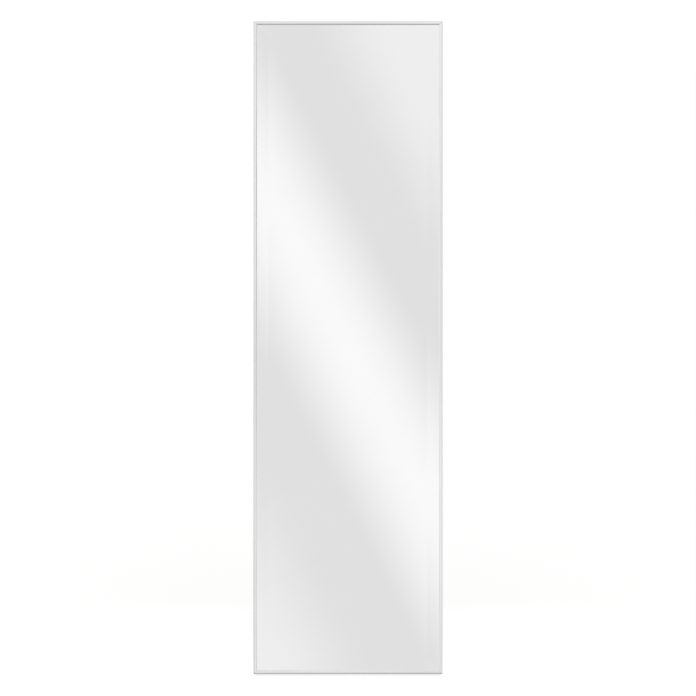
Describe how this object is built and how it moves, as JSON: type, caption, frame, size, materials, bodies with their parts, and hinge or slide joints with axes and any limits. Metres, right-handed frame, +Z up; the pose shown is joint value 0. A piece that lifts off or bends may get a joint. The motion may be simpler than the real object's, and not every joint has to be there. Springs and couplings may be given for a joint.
{
  "type": "floor mirror",
  "caption": "Slim full-length floor mirror: bevelled glass in a thin mitred aluminium frame that leans back on a U-shaped tube stand which folds flat behind it.",
  "frame": {"origin": "on the floor, at the middle of the footprint with the stand open", "axes": "+Z up; the mirror faces -Y and leans back towards +Y; +X to the right as seen from the front"},
  "size_m": [0.406, 0.3202, 1.3839],
  "materials": {
    "anodised_aluminium": "satin silver anodised",
    "silvered_glass": "silvered and bevelled",
    "foam": "white closed-cell foam",
    "fibreboard": "plain brown hardboard",
    "zinc_steel": "bright zinc plate",
    "coated_steel": "silver-grey powder coat",
    "nylon": "natural nylon",
    "rubber": "matt grey rubber"
  },
  "bodies": {
    "panel": {"backing_board": "fibreboard", "corner_key_bottom_left": "zinc_steel", "corner_key_bottom_right": "zinc_steel", "corner_key_top_left": "zinc_steel", "corner_key_top_right": "zinc_steel", "corner_screw_bottom_left_rail": "zinc_steel", "corner_screw_bottom_left_stile": "zinc_steel", "corner_screw_bottom_right_rail": "zinc_steel", "corner_screw_bottom_right_stile": "zinc_steel", "corner_screw_top_left_rail": "zinc_steel", "corner_screw_top_left_stile": "zinc_steel", "corner_screw_top_right_rail": "zinc_steel", "corner_screw_top_right_stile": "zinc_steel", "foam_sheet": "foam", "frame_rail_bottom": "anodised_aluminium", "frame_rail_top": "anodised_aluminium", "frame_stile_left": "anodised_aluminium", "frame_stile_right": "anodised_aluminium", "hanger_plate_left": "zinc_steel", "hanger_plate_right": "zinc_steel", "hanger_screw_left_inner": "zinc_steel", "hanger_screw_left_outer": "zinc_steel", "hanger_screw_right_inner": "zinc_steel", "hanger_screw_right_outer": "zinc_steel", "hinge_bracket_left": "zinc_steel", "hinge_bracket_right": "zinc_steel", "hinge_bracket_screw_left_lower": "zinc_steel", "hinge_bracket_screw_left_upper": "zinc_steel", "hinge_bracket_screw_right_lower": "zinc_steel", "hinge_bracket_screw_right_upper": "zinc_steel", "hinge_nut_plate_left": "zinc_steel", "hinge_nut_plate_right": "zinc_steel", "mirror_glass": "silvered_glass", "panel_foot_left": "rubber", "panel_foot_right": "rubber", "panel_foot_screw_left": "zinc_steel", "panel_foot_screw_right": "zinc_steel", "pivot_bolt_left": "zinc_steel", "pivot_bolt_right": "zinc_steel", "pivot_nut_left": "zinc_steel", "pivot_nut_right": "zinc_steel", "pivot_spacer_left": "nylon", "pivot_spacer_right": "nylon", "pivot_washer_left": "zinc_steel", "pivot_washer_right": "zinc_steel"},
    "stand": {"stand_end_cap_left": "rubber", "stand_end_cap_right": "rubber", "stand_glide_left": "rubber", "stand_glide_right": "rubber", "stand_tube": "coated_steel"}
  },
  "joints": [
    {"name": "stand_fold", "type": "hinge", "parent": "panel", "child": "stand", "pos_m": [0, 0.02226, 0.80576], "axis": [1, 0, 0], "range_deg": [-19, 0]}
  ]
}
